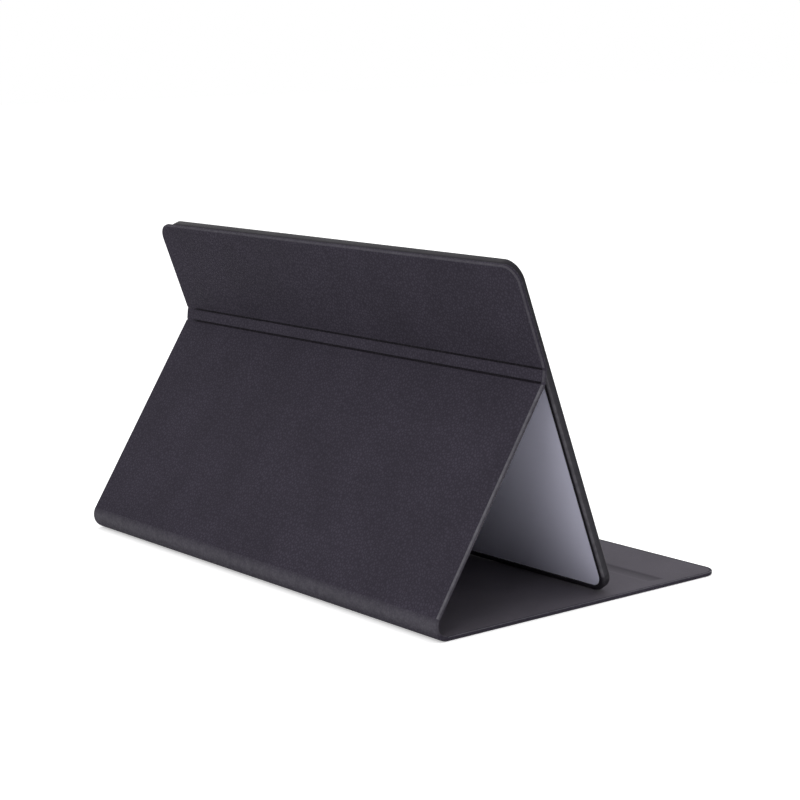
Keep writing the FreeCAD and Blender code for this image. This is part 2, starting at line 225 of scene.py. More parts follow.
class BoardSettings(bpy.types.PropertyGroup):
    """Sizes and colours of the board"""
    corner_radius: length("Corner radius", "Rounding of the board's corners", 0.010)
    rim_edge: length("Rim edge", "Rounding of the rim's outer edges", 0.0012)
    rim_wall: length("Rim wall", "Thickness of the rim beside the sheets", 0.0016)
    bezel_width: length("Bezel width", "Rim over the writing face", 0.0035)
    bezel_depth: length("Bezel depth", "Rim above the writing face", 0.0008)
    lip_width: length("Lip width", "Rim over the back panel", 0.0030)
    lip_depth: length("Lip depth", "Rim behind the back panel", 0.0006)
    lip_edge: length("Lip edge", "Rounding of the rim's inner edges", 0.00025)
    # Painted highlight along the rim's back edge, a little on the wall beside it, fainter along top and
    # foot.
    rim_highlight_sides: share("Rim rub", "How rubbed the rim's back edge is along the sides", 0.6)
    rim_highlight_wall: share("Rim wall rub", "How rubbed the wall is where that edge meets it", 0.2)
    rim_highlight_ends: share("Rim end rub", "How rubbed the back edge is along top and foot", 0.1)
    rim: colour("Rim", "Colour of the moulded rim", (0.0195, 0.0176, 0.0226))
    # Colour of that painted highlight on the rim.
    rim_highlight_colour: colour("Rubbed rim", "Colour of the rim along its back edge", (0.162, 0.155, 0.175))
    back: colour("Back", "Colour of the back panel", (0.79, 0.785, 0.95))
    writing: colour("Writing face", "Colour of the dry-wipe face", (0.87, 0.87, 0.865))


class MarkerSettings(bpy.types.PropertyGroup):
    """Colours and roundness of the marker"""
    sides: count("Sides", "Sides of a round piece", 64, min=12)
    white: colour("White", "Colour of the barrel", (0.80, 0.80, 0.79))
    black: colour("Black", "Colour of cap and tail", (0.013, 0.013, 0.014))
    grey: colour("Grey", "Colour of the collar", (0.16, 0.16, 0.165))
    felt: colour("Felt", "Colour of nib and felt", (0.010, 0.010, 0.011))


class EraserSettings(bpy.types.PropertyGroup):
    """Sizes and colours of the eraser"""
    top_edge: length("Top edge", "Rounding of the shell's top", 0.0022)
    bottom_edge: length("Bottom edge", "Rounding of the shell's foot", 0.0004)
    dimple: length("Dimple", "Length of the thumb dimple", 0.0135)
    dimple_depth: length("Dimple depth", "Depth of the thumb dimple", 0.0007)
    dimple_margin: length("Dimple margin", "Flat strip round the dimple", 0.0009)
    dimple_wall: length("Dimple wall", "Width of the dimple's steep wall", 0.0006)
    dimple_slope: length("Dimple slope", "Width of the dimple's soft slope", 0.0012)
    groove: length("Groove", "Width of the fine lines across the shell", 0.0006)
    groove_depth: length("Groove depth", "Depth of those lines", 0.0004)
    pad_bottom: length("Pad bottom", "Rounding of the pad's wiping face", 0.0006)
    pad_top: length("Pad top", "Rounding of the pad below the shell", 0.0003)
    shell: colour("Shell", "Colour of the shell", (0.105, 0.105, 0.109))
    pad: colour("Pad", "Colour of the felt pad", (0.030, 0.030, 0.032))


class StageSettings(bpy.types.PropertyGroup):
    """Camera, floor and lamps"""
    azimuth: degrees("Azimuth", "Camera's way round the object, from the writing face", 231.517)
    elevation: degrees("Elevation", "Camera's height above the horizon", 10.167)
    roll: degrees("Roll", "Turn of the picture", -0.849)
    distance: length("Distance", "Camera to its aim", 1.096889)
    aim_right: offset("Aim right", "Aim beside the middle", 0.021396)
    aim_up: offset("Aim up", "Aim above the middle", 0.013066)
    middle: position("Middle", "Place that the aim is counted from", (0, 0.0189, 0.070))
    lens: focal_length("Lens", "Focal length in millimetres", 94.865)
    floor_size: length("Floor size", "Side of the floor", 12.0)
    floor_drop: length("Floor drop", "Floor below the cover", 0.0001)
    floor: colour("Floor", "Colour of the floor", (0.94, 0.94, 0.94))
    sky: strength("Sky", "Light from straight above", 1.25)
    horizon: strength("Horizon", "Light from all round, low down", 0.05)
    key: power("Key", "Power of the large lamp behind the stand", 4.5)
    key_place: position("Key place", "Where that lamp stands", (-0.48, 0.97, 0.88))
    front: power("Front", "Power of the large lamp before the writing face", 6.0)
    front_place: position("Front place", "Where that lamp stands", (0.35, -1.60, 0.50))
    lamp_size: length("Lamp size", "Side of a lamp", 0.8)
    lamp_aim: position("Lamp aim", "Where the lamps look", (0, 0, 0.06))
    glow: strength("Glow", "Paper white that the floor shows where no shadow falls", 0.45)


# Modelling by hand


def rest_mode():
    """Object mode with nothing selected."""
    if bpy.context.object is not None and bpy.context.object.mode != "OBJECT":
        bpy.ops.object.mode_set(mode="OBJECT")
    bpy.ops.object.select_all(action="DESELECT")


def begin(name):
    """Name a new primitive, apply its place and open it for editing."""
    piece = bpy.context.object
    piece.name = piece.data.name = name
    bpy.ops.object.transform_apply(location=True, rotation=True, scale=True)
    bpy.ops.object.mode_set(mode="EDIT")
    return piece


def block(name, low, high):
    """Box between two corners."""
    rest_mode()
    low, high = Vector(low), Vector(high)
    bpy.ops.mesh.primitive_cube_add(size=1, location=(low + high) / 2)
    bpy.context.object.scale = high - low
    return begin(name)


def pick(kind, test):
    """Select the corners, edges or faces that a test takes."""
    bpy.ops.mesh.select_mode(type=kind)
    bpy.ops.mesh.select_all(action="DESELECT")
    data = bpy.context.object.data
    mesh = bmesh.from_edit_mesh(data)
    mesh.normal_update()
    parts = {"VERT": mesh.verts, "EDGE": mesh.edges, "FACE": mesh.faces}[kind]
    found = [part for part in parts if test(part)]
    if not found:
        raise RuntimeError(f"{bpy.context.object.name}: nothing to select")
    for part in found:
        part.select_set(True)
    mesh.select_flush_mode()
    bmesh.update_edit_mesh(data)


def pick_all(kind):
    bpy.ops.mesh.select_mode(type=kind)
    bpy.ops.mesh.select_all(action="SELECT")


def near(value, target):
    return abs(value - target) < CLOSE


def edges_at(axis, level, beside=lambda place: True):
    """Test for edges that lie at one level along an axis."""
    return lambda edge: all(near(corner.co[axis], level) and beside(corner.co) for corner in edge.verts)


def flat_face(axis, level):
    """Test for the faces that lie flat at one level along an axis."""
    return lambda face: all(near(corner.co[axis], level) for corner in face.verts)


def upright(edge):
    """True for an edge along Z."""
    first, second = (corner.co for corner in edge.verts)
    return near(first.x, second.x) and near(first.y, second.y)


def bevel(offset, segments, affect="EDGES"):
    bpy.ops.mesh.bevel(offset_type="OFFSET", offset=offset, segments=segments, profile=0.5,
                       affect=affect, clamp_overlap=False)


def inset(width):
    bpy.ops.mesh.inset(thickness=width, use_boundary=True, use_even_offset=True)


def round_level(level, radius, rows):
    """Round the edges that lie at one height."""
    pick("EDGE", edges_at(2, level))
    bevel(radius, rows)


def inset_level(level, width):
    """Inset the flat face at one height."""
    pick("FACE", flat_face(2, level))
    inset(width)


def draw_out(step):
    bpy.ops.mesh.extrude_region_move(TRANSFORM_OT_translate={"value": step})


def cut(axis, level, way=1, drop=False):
    """Cut the whole mesh across an axis and, if asked, drop what lies beyond."""
    place, towards = Vector(), Vector()
    place[axis], towards[axis] = level, way
    bpy.ops.mesh.select_all(action="SELECT")
    bpy.ops.mesh.bisect(plane_co=place, plane_no=towards, use_fill=drop, clear_inner=False,
                        clear_outer=drop)


def cut_pairs(axis, middle, *steps):
    """Cut across an axis at each step on both sides of a middle."""
    for step in steps:
        for side in (-1, 1):
            cut(axis, middle + side * step)


def close_up():
    """Outward faces on a closed mesh."""
    pick_all("VERT")
    bpy.ops.mesh.remove_doubles(threshold=CLOSE)
    bpy.ops.mesh.normals_make_consistent(inside=False)
    bpy.ops.mesh.select_all(action="DESELECT")


def settle(piece, place, rotation, smooth=40):
    """Turn a finished piece from its own frame to its place and apply that."""
    close_up()
    bpy.ops.object.mode_set(mode="OBJECT")
    piece.rotation_euler = rotation
    piece.location = place
    bpy.ops.object.transform_apply(location=True, rotation=True, scale=True)
    bpy.ops.object.shade_smooth_by_angle(angle=math.radians(smooth))
    uses = Counter(key for face in piece.data.polygons for key in face.edge_keys)
    loose = sum(faces != 2 for faces in uses.values())
    if loose:
        raise RuntimeError(f"{piece.name}: {loose} open edges")


def coat(piece, finish):
    """Give a piece one material, by its plain name."""
    piece.data.materials.clear()
    piece.data.materials.append(finish_of(finish))


def dress(piece, finish, slot, *nodes):
    """Give a piece its material and hide the CAD nodes that it stands for; the slot is not used."""
    coat(piece, finish)
    if nodes:
        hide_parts(*nodes)
    return piece


def line_inside(piece, finish, test):
    """Give the faces that a test takes a second material."""
    piece.data.materials.append(finish_of(finish))
    for face in piece.data.polygons:
        if test(face):
            face.material_index = 1


def write_marks(piece, mask, mark_kind="rubbed"):
    """Write a mark from 0 to 1 at each corner: worn edges with a painted highlight, or painted shade on a
    pressed floor.
    """
    marks = piece.data.attributes.new(mark_kind, "FLOAT", "POINT")
    for vertex, mark in zip(piece.data.vertices, marks.data):
        mark.value = mask(vertex.co)


def mark_surface(piece, mask, mark_kind="rubbed"):
    """Write such marks on a piece that is open for editing, in its own frame."""
    bpy.ops.object.mode_set(mode="OBJECT")
    write_marks(piece, mask, mark_kind)
    bpy.ops.object.mode_set(mode="EDIT")


# Materials


class Drawing:
    """A node tree that is filled node by node."""

    def __init__(self, tree):
        self.tree = tree
        tree.nodes.clear()

    def add(self, kind, inputs=(), **settings):
        """Add a node, and link each input that is a socket and set the others."""
        made = self.tree.nodes.new(kind)
        for key, value in settings.items():
            setattr(made, key, value)
        for key, value in dict(inputs).items():
            if isinstance(value, bpy.types.NodeSocket):
                self.tree.links.new(value, made.inputs[key])
            else:
                made.inputs[key].default_value = value
        return made

    def math(self, operation, first, second=0.0, clamp=False):
        made = self.add("ShaderNodeMath", {0: first, 1: second}, operation=operation, use_clamp=clamp)
        return made.outputs[0]

    def ramp(self, value, low, high, to_low=0.0, to_high=1.0):
        return self.add("ShaderNodeMapRange", {
            "Value": value, "From Min": low, "From Max": high, "To Min": to_low, "To Max": to_high,
        }, interpolation_type="SMOOTHSTEP").outputs["Result"]

    def mix(self, share_of_second, first, second):
        """Mix of two colours, on the colour sockets of the Mix node."""
        return self.add("ShaderNodeMix", {0: share_of_second, 6: first, 7: second},
                        data_type="RGBA").outputs[2]

    def tones(self, share_of_second, tint, first, second):
        """Mix of two tones of one tint, each given as a gain."""
        return self.mix(share_of_second, rgba(tint, first), rgba(tint, second))

    def noise(self, place, scale, detail=2.0, roughness=0.5):
        return self.add("ShaderNodeTexNoise", {
            "Vector": place, "Scale": scale, "Detail": detail, "Roughness": roughness,
        }).outputs["Fac"]

    def group(self, name, inputs):
        return self.add("ShaderNodeGroup", inputs, node_tree=bpy.data.node_groups[name]).outputs

    def stretched(self, place, stretch, scale=1.0, detail=2.0, roughness=0.5):
        """Noise that is drawn out along an axis."""
        drawn = self.add("ShaderNodeMapping", {"Vector": place, "Scale": stretch}).outputs[0]
        return self.noise(drawn, scale, detail, roughness)


def rgba(colour_of, gain=1.0):
    return (*[channel * gain for channel in colour_of], 1.0)


class Effect(Drawing):
    """A shader node group that turns places and numbers into heights and masks."""

    def __init__(self, name, *numbers):
        super().__init__(bpy.data.node_groups.new(name, "ShaderNodeTree"))
        self.socket("Place", "INPUT", "NodeSocketVector")
        for number in numbers:
            self.socket(number, "INPUT", "NodeSocketFloat")
        self.given = self.add("NodeGroupInput").outputs

    def socket(self, name, way, kind):
        self.tree.interface.new_socket(name, in_out=way, socket_type=kind)

    def put_out(self, **results):
        for name in results:
            self.socket(name, "OUTPUT", "NodeSocketFloat")
        self.add("NodeGroupOutput", results)


def make_effects():
    """The grains that more than one finish uses."""
    d = Effect("pebble_grain", "Scale")
    place, scale = d.given["Place"], d.given["Scale"]
    stir = d.add("ShaderNodeTexNoise", {"Vector": place, "Scale": 420.0, "Detail": 2.0})
    stirred_by = (0.0009,) * 3
    stirred = d.add("ShaderNodeVectorMath", {0: stir.outputs["Color"], 1: stirred_by, 2: place},
                    operation="MULTIPLY_ADD").outputs[0]
    cells = d.add("ShaderNodeTexVoronoi", {"Vector": stirred, "Scale": scale},
                  feature="DISTANCE_TO_EDGE").outputs["Distance"]
    pebble = d.ramp(cells, low=0.0, high=0.30)
    pores = d.noise(stirred, d.math("MULTIPLY", scale, 3.3), detail=3.0)
    d.put_out(Height=d.math("ADD", d.math("MULTIPLY", pebble, 0.75), d.math("MULTIPLY", pores, 0.35)),
              Valley=d.math("SUBTRACT", 1.0, pebble, clamp=True),
              Mottle=d.noise(place, 32.0, detail=4.0, roughness=0.6))

    d = Effect("moulded_tooth", "Scale")
    d.put_out(Height=d.noise(d.given["Place"], d.given["Scale"], roughness=0.6),
              Cloud=d.noise(d.given["Place"], 45.0, detail=3.0))

    d = Effect("felt_fibre", "Scale")
    fibres = [d.stretched(d.given["Place"], stretch, d.given["Scale"], detail=3.0, roughness=0.65)
              for stretch in ((1, 6, 6), (6, 1, 6), (6, 6, 1))]
    matted = d.math("MAXIMUM", d.math("MAXIMUM", fibres[0], fibres[1]), fibres[2])
    d.put_out(Height=matted, Fibre=d.ramp(matted, low=0.50, high=0.72))

    # Patchy mask of the marked places: painted highlight on worn edges, or where a crease's painted shade
    # fades out.
    d = Effect("edge_wear_highlight_group", "Edge", "Scale")
    cloud = d.noise(d.given["Place"], d.given["Scale"], detail=4.0, roughness=0.65)
    patchy = d.ramp(cloud, low=0.35, high=0.65, to_low=0.62)
    d.put_out(Worn=d.math("MULTIPLY", d.given["Edge"], patchy, clamp=True))


def socket_name(key):
    """Name of a Principled socket from a plain keyword."""
    return key.replace("_", " ").title().replace("Ior", "IOR")


class Finish(Drawing):
    """A material with one Principled shader, drawn over Object coordinates."""

    def __init__(self, name):
        self.material = bpy.data.materials.new(name)
        self.material.use_nodes = True
        super().__init__(self.material.node_tree)
        self.shader = self.add("ShaderNodeBsdfPrincipled")
        end = self.add("ShaderNodeOutputMaterial")
        self.tree.links.new(self.shader.outputs[0], end.inputs[0])
        self.place = self.add("ShaderNodeTexCoord").outputs["Object"]

    def set(self, **plain):
        for key, value in plain.items():
            self.shader.inputs[socket_name(key)].default_value = value

    def link(self, **linked):
        for key, socket in linked.items():
            self.tree.links.new(socket, self.shader.inputs[socket_name(key)])

    def worn_highlit_edge(self):
        """Mask of the marked places, a little patchy: worn edges with a painted highlight, and the ends of
        a crease where its painted shade fades out.
        """
        edge = self.add("ShaderNodeAttribute", attribute_name="rubbed").outputs["Fac"]
        return self.group("edge_wear_highlight_group", {"Place": self.place, "Edge": edge, "Scale": 260.0})["Worn"]

    def done(self, tone, height, distance, strong, gloss=None):
        """Link colour, bump and, where it varies, roughness, and return the material."""
        bump = self.add("ShaderNodeBump", {"Height": height, "Distance": distance, "Strength": strong})
        self.link(base_color=tone, normal=bump.outputs[0])
        if gloss is not None:
            self.link(roughness=gloss)
        return self.material


def leather_finish(name, cover, tint, rubbed, shine):
    """Pebbled leather, mottled and darker between the pebbles; where marked, it turns to a second colour: a
    painted highlight on worn edges and the roll, or plain leather where a crease's painted shade fades out.
    """
    f = Finish(name)
    grain = f.group("pebble_grain", {"Place": f.place, "Scale": 1.0 / cover.pebble})
    tone = f.tones(f.ramp(grain["Mottle"], low=0.3, high=0.7), tint, first=0.90, second=1.10)
    tone = f.mix(f.math("MULTIPLY", grain["Valley"], 0.45), tone, rgba(tint, gain=0.40))
    tone = f.mix(f.worn_highlit_edge(), tone, rgba(rubbed))
    gloss = f.math("ADD", f.math("MULTIPLY", grain["Valley"], 0.14),
                   f.ramp(grain["Mottle"], low=0.3, high=0.7, to_low=0.47, to_high=0.55))
    f.set(specular_ior_level=shine)
    return f.done(tone, grain["Height"], distance=0.00016, strong=0.5, gloss=gloss)


def lining_finish(cover):
    """Fine fibrous lining, darker where it is marked as pressed: painted shade on the channel's floor."""
    f = Finish("cover lining")
    grain = f.group("pebble_grain", {"Place": f.place, "Scale": 1700.0})
    fibre = f.group("felt_fibre", {"Place": f.place, "Scale": 420.0})
    pressed = f.add("ShaderNodeAttribute", attribute_name="pressed").outputs["Fac"]
    tone = f.tones(f.ramp(grain["Mottle"], low=0.3, high=0.7), cover.lining, first=0.92, second=1.08)
    tone = f.mix(f.math("MULTIPLY", fibre["Fibre"], 0.30), tone, rgba(cover.lining, gain=1.35))
    # Painted shade on the channel's floor.
    tone = f.mix(pressed, tone, rgba(cover.lining_pressed))
    gloss = f.ramp(grain["Mottle"], low=0.3, high=0.7, to_low=0.50, to_high=0.58)
    height = f.math("ADD", grain["Height"], f.math("MULTIPLY", fibre["Height"], 0.5))
    f.set(specular_ior_level=0.01)
    return f.done(tone, height, distance=0.00006, strong=0.5, gloss=gloss)


def plastic_finish(name, tint, rough, tooth=5200.0, depth=0.00002, coat=0.0, shine=0.5, rubbed=None):
    """Moulded plastic with a fine tooth, cloudy gloss and, where it is marked so, a worn edge with a
    painted highlight.
    """
    f = Finish(name)
    grain = f.group("moulded_tooth", {"Place": f.place, "Scale": tooth})
    tone = f.tones(f.ramp(grain["Cloud"], low=0.2, high=0.8), tint, first=0.97, second=1.03)
    if rubbed is not None:
        tone = f.mix(f.worn_highlit_edge(), tone, rgba(rubbed))
    gloss = f.ramp(grain["Cloud"], low=0.25, high=0.75, to_low=rough - 0.04, to_high=rough + 0.05)
    f.set(coat_weight=coat, coat_roughness=0.12, specular_ior_level=shine)
    return f.done(tone, grain["Height"], distance=depth, strong=0.5, gloss=gloss)


def felt_finish(name, tint, scale):
    """Matted felt."""
    f = Finish(name)
    fibre = f.group("felt_fibre", {"Place": f.place, "Scale": scale})
    tone = f.tones(fibre["Fibre"], tint, first=0.75, second=1.9)
    f.set(roughness=0.95, sheen_weight=0.25, sheen_roughness=0.5)
    return f.done(tone, fibre["Height"], distance=0.00025, strong=0.8)


def back_finish(board):
    """Satin lacquer with a faint brushed run along the board."""
    f = Finish("satin back panel")
    brushed = f.stretched(f.place, (6, 900, 900), detail=3.0)
    cloud = f.noise(f.place, 14.0, detail=3.0)
    tone = f.tones(f.ramp(cloud, low=0.3, high=0.7), board.back, first=0.97, second=1.03)
    tone = f.mix(f.math("MULTIPLY", brushed, 0.08), tone, rgba(board.back, gain=0.7))
    gloss = f.math("ADD", f.math("MULTIPLY", brushed, 0.06), 0.34)
    f.set(specular_ior_level=0.25)
    return f.done(tone, brushed, distance=0.000004, strong=0.4, gloss=gloss)


def writing_finish(board):
    """Glossy dry-wipe coat, with the faint cloud that wiping leaves."""
    f = Finish("dry-wipe face")
    cloud = f.stretched(f.place, (9, 30, 30), detail=4.0, roughness=0.6)
    peel = f.noise(f.place, 900.0, detail=1.0)
    tone = f.tones(f.ramp(cloud, low=0.52, high=0.78), board.writing, first=1.0, second=0.955)
    gloss = f.ramp(cloud, low=0.35, high=0.75, to_low=0.10, to_high=0.19)
    return f.done(tone, peel, distance=0.00001, strong=0.15, gloss=gloss)


def metal_finish(name, tint, rough, stretch):
    """Plain metal with a rolled or ground run."""
    f = Finish(name)
    run = f.stretched(f.place, stretch, detail=4.0, roughness=0.6)
    tone = f.tones(run, tint, first=0.88, second=1.08)
    gloss = f.ramp(run, low=0.3, high=0.7, to_low=rough - 0.07, to_high=rough + 0.08)
    f.set(metallic=1.0)
    return f.done(tone, run, distance=0.000008, strong=0.4, gloss=gloss)


def board_stock_finish(name, tint, scale):
    """Pressed board or foam that stays inside the cover."""
    f = Finish(name)
    fibre = f.group("felt_fibre", {"Place": f.place, "Scale": scale})
    tone = f.tones(fibre["Fibre"], tint, first=0.85, second=1.12)
    f.set(roughness=0.9)
    return f.done(tone, fibre["Height"], distance=0.00008, strong=0.6)


def make_finishes(scene):
    """All finishes, by the plain name that the pieces ask for."""
    cover, board = scene.folio_cover, scene.folio_board
    marker, eraser = scene.folio_marker, scene.folio_eraser
    make_effects()
    return {
        "leather": leather_finish("cover leather", cover, cover.leather, cover.leather_rubbed, shine=0.02),
        # Crease leather: darker by pressing and by painted shade, back to plain leather where marked.
        "pressed": leather_finish("pressed leather", cover, cover.leather_pressed, cover.leather,
                                  shine=0.06),
        "lining": lining_finish(cover),
        "stock": board_stock_finish("grey board", (0.24, 0.22, 0.20), scale=700.0),
        "core": board_stock_finish("foam core", (0.62, 0.61, 0.58), scale=500.0),
        "tape": board_stock_finish("mounting tape", (0.52, 0.52, 0.50), scale=1300.0),
        "magnet": metal_finish("nickel magnet", (0.62, 0.60, 0.57), rough=0.30, stretch=(900, 60, 900)),
        "steel": metal_finish("rolled steel", (0.50, 0.51, 0.52), rough=0.38, stretch=(12, 1400, 1400)),
        # Rim plastic with a painted highlight where marked along its back edge.
        "rim": plastic_finish("rim plastic", board.rim, rough=0.46, shine=0.09, rubbed=board.rim_highlight_colour),
        "back": back_finish(board),
        "writing": writing_finish(board),
        "white": plastic_finish("white plastic", marker.white, rough=0.26, tooth=3000.0, depth=0.000006,
                                coat=0.15),
        "black": plastic_finish("black plastic", marker.black, rough=0.27, tooth=3000.0, depth=0.000008),
        "grey": plastic_finish("grey plastic", marker.grey, rough=0.34, tooth=3000.0, depth=0.000008),
        "felt": felt_finish("black felt", marker.felt, scale=1100.0),
        "ink": felt_finish("ink fibre", (0.05, 0.05, 0.06), scale=700.0),
        "shell": plastic_finish("eraser shell", eraser.shell, rough=0.46, tooth=2600.0, depth=0.00004),
        "pad": felt_finish("eraser felt", eraser.pad, scale=800.0),
    }


FINISHES = {}


def finish_of(name):
    """A finish by its plain name. The first call makes them all."""
    if not FINISHES:
        FINISHES.update(make_finishes(bpy.context.scene))
    return FINISHES[name]


# The folio cover


# What a panel does at an end: stop, go on into the roll, or meet a pressed crease
FREE, ROLLED, PRESSED = "free", "rolled", "pressed"
End = namedtuple("End", "place way kind")
# A panel's last field is its edge mark: painted highlight with some worn look.
Panel = namedtuple("Panel", "name body origin turn ends rub")


def panel_of(name, body, origin, turn, low, low_kind, high, high_kind, rubbed):
    """A panel of the cover, with its ends along its own Y."""
    return Panel(name, body, origin, turn, (End(low, -1, low_kind), End(high, 1, high_kind)), rubbed)


def stiff_panels(cover):
    """Base, stand and upper strip."""
    crease_half = cover.crease_half
    return (
        panel_of("base", "base", REAR, 0, BASE_FRONT, FREE, -ROLL_TANGENT, ROLLED, cover.base_rub_and_highlight),
        panel_of("stand", "stand", SPINE_TOP, STAND_TURN, ROLL_TANGENT, ROLLED,
                 STAND_LENGTH - crease_half, PRESSED, cover.stand_rub_and_highlight),
        panel_of("strip", "board", UPPER, BOARD_TURN, crease_half, PRESSED, STRIP_LENGTH, FREE,
                 cover.strip_rub_and_highlight),
    )


def round_corners(ends, radius):
    """Round the corners of a panel at its free ends."""
    free = [end.place for end in ends if end.kind == FREE]
    if free:
        pick("EDGE", lambda edge: upright(edge) and any(edges_at(1, place)(edge) for place in free))
        bevel(radius, CORNER_ROWS)


def press_ends(cover, ends):
    """Round the outer face of a panel down into its creases."""
    for end in ends:
        if end.kind == PRESSED:
            pick("EDGE", edges_at(1, end.place, lambda place: place.z < cover.outer_edge / 2 - HALF_PANEL))
            bevel(cover.crease_edge, INNER_ROWS)


def leather_panel(cover, panel):
    """Leather panel with turned edges and a tray for the lining, in its own frame."""
    spare = 2 * cover.corner_radius
    low, high = (end.place if end.kind == FREE else end.place + end.way * spare for end in panel.ends)
    piece = block(f"leather_{panel.name}", (-HALF_COVER, low, -HALF_PANEL), (HALF_COVER, high, HALF_PANEL))
    round_corners(panel.ends, cover.corner_radius)
    round_level(-HALF_PANEL, cover.outer_edge, OUTER_ROWS)
    round_level(HALF_PANEL, cover.inner_edge, INNER_ROWS)
    inset_level(-HALF_PANEL, cover.face_hold)
    inset_level(HALF_PANEL, cover.hem - cover.inner_edge)
    draw_out((0, 0, -cover.lining_thickness - CLOSE))
    for end in panel.ends:
        if end.kind != FREE:
            cut(1, end.place, end.way, drop=True)
    press_ends(cover, panel.ends)
    # Mark the turned edges for a painted highlight with some worn look.
    mark_surface(piece, edge_wear_and_highlight(cover, panel))
    return piece


def edge_wear_and_highlight(cover, panel):
    """Painted highlight, with some worn look, on the turned edges of a panel, as a function of place."""
    outer, beside, inner = panel.rub
    radius = cover.corner_radius
    low, high = (end.place - end.way * radius if end.kind == FREE else end.way * math.inf
                 for end in panel.ends)

    def mark(place):
        beyond = max(low - place.y, place.y - high, 0.0)
        across = abs(place.x) - (HALF_COVER - radius)
        depth = radius - (math.hypot(max(across, 0.0), beyond) if beyond else across)
        if depth < cover.inner_edge - CLOSE and place.z > HALF_PANEL - cover.inner_edge + CLOSE:
            return inner
        if depth < cover.outer_edge - CLOSE:
            return outer if place.z < cover.outer_edge - HALF_PANEL - CLOSE else beside
        return 0.0

    return mark


def lining_sheet(cover, panel):
    """Lining that lies in the tray of a panel, in its own frame."""
    shy = cover.hem + cover.lining_gap
    side = HALF_COVER - shy
    top = HALF_PANEL - cover.lining_sink
    ends = [end._replace(place=end.place - end.way * shy) if end.kind == FREE else end
            for end in panel.ends]
    joined = [end.place for end in ends if end.kind != FREE]
    piece = block(f"lining_{panel.name}", (-side, ends[0].place, HALF_PANEL - cover.lining_thickness),
                  (side, ends[1].place, top))
    round_corners(ends, cover.corner_radius - cover.hem)
    pick("EDGE", lambda edge: edges_at(2, top)(edge)
         and not any(edges_at(1, place)(edge) for place in joined))
    bevel(cover.lining_edge, FINE_ROWS)
    inset_level(top, cover.lining_hold)
    return piece


def press_channel(cover):
    """Press the soft channel into the lining of the base, which is open for editing, and mark painted shade
    on its floor.
    """
    middle = BASE_FRONT + cover.channel_setback
    top = HALF_PANEL - cover.lining_sink
    half, slope, hold = cover.channel_width / 2, cover.channel_slope, cover.channel_hold
    end_slope, end_hold = 2 * slope, 2 * hold
    cut_pairs(1, middle, half + hold, half, half - slope, half - slope - hold)
    reach = HALF_COVER - cover.channel_end
    cut_pairs(0, 0, reach + end_hold, reach, reach - end_slope, reach - end_slope - end_hold)
    pick("VERT", lambda corner: near(corner.co.z, top) and abs(corner.co.y - middle) < half - slope + CLOSE
         and abs(corner.co.x) < reach - end_slope + CLOSE)
    bpy.ops.transform.translate(value=(0, 0, -cover.channel_depth))
    floor, foot = top - cover.channel_depth, half - slope

    def pressed(place):
        """Painted shade on the channel's floor: most along its front wall, none along the rear one."""
        return (middle + foot - place.y) / (2 * foot) if near(place.z, floor) else 0.0

    # Write the channel's painted shade.
    mark_surface(bpy.context.object, pressed, "pressed")


def seat(piece, panel, finish, slot, *nodes):
    """Turn a piece of a panel to its place, dress it and put it on the panel's body."""
    settle(piece, panel.origin, (panel.turn, 0, 0))
    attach(dress(piece, finish, slot, *nodes), panel.body)


class FOLIO_OT_cover_panels(bpy.types.Operator):
    """Leather of base, stand and upper strip"""
    bl_idname = "folio.cover_panels"
    bl_label = "Cover panels"

    def execute(self, context):
        cover = context.scene.folio_cover
        for panel in stiff_panels(cover):
            seat(leather_panel(cover, panel), panel, "leather", "cover_skin", f"{panel.name}_outer_skin")
        return {"FINISHED"}


class FOLIO_OT_linings(bpy.types.Operator):
    """Lining of base, stand and upper strip"""
    bl_idname = "folio.linings"
    bl_label = "Linings"

    def execute(self, context):
        cover = context.scene.folio_cover
        for panel in stiff_panels(cover):
            piece = lining_sheet(cover, panel)
            if panel.name == "base":
                press_channel(cover)
            seat(piece, panel, "lining", "cover_lining", f"{panel.name}_lining")
        return {"FINISHED"}


